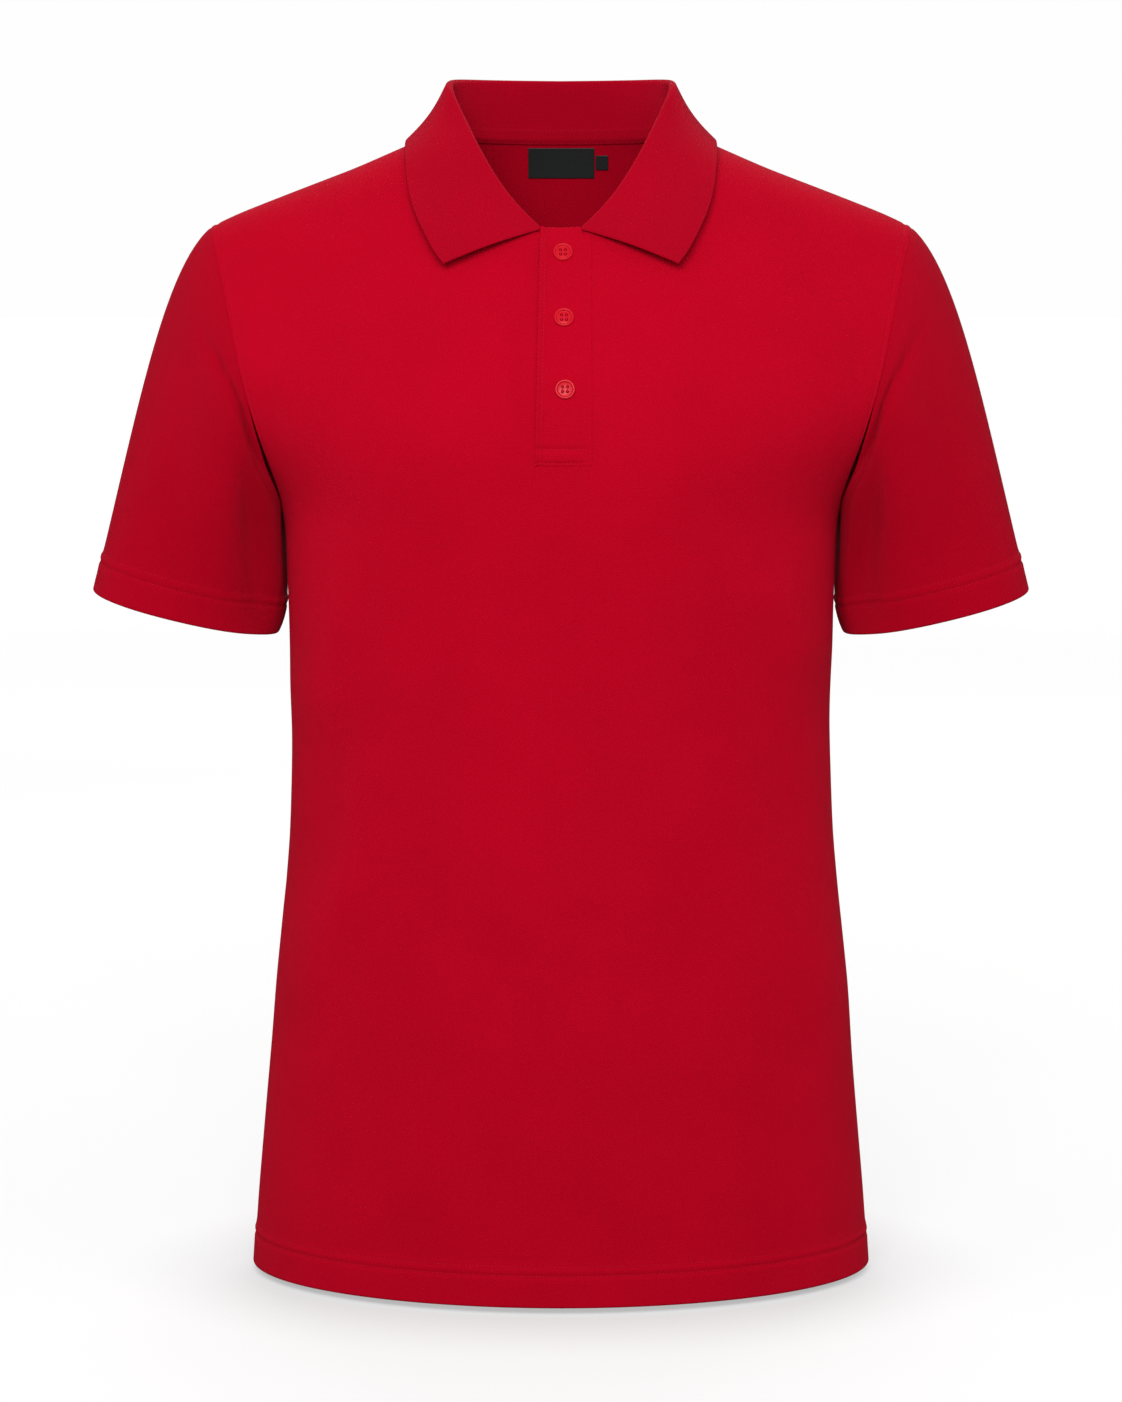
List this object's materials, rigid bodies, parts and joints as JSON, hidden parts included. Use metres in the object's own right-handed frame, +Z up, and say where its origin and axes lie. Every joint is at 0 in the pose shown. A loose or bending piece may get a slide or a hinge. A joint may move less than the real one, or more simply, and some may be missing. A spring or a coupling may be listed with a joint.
{
  "type": "polo shirt",
  "caption": "Short-sleeved polo shirt filled out with no wearer: hollow body, set-in sleeves, folded collar and buttoned placket.",
  "frame": {"origin": "middle of the neck, level with the high point of the shoulders, where a wearer's shoulders hold the shirt up", "axes": "+Z up, -Y towards the front of the shirt, +X towards the wearer's left"},
  "size_m": [0.5862, 0.2445, 0.7487],
  "materials": {
    "pique": "red cotton pique knit, matt",
    "collar_knit": "red flat rib knit, matt",
    "tape": "red woven cotton tape, matt",
    "label": "black woven satin, left bare",
    "button": "red polyester, polished"
  },
  "bodies": {
    "root": {"front": "pique", "back": "pique", "sleeve_left": "pique", "sleeve_right": "pique", "collar": "collar_knit", "neck_tape": "tape", "placket_top": "pique", "placket_under": "pique", "label": "label", "size_tab": "label", "button_1": "button", "button_2": "button", "button_3": "button"}
  },
  "joints": []
}
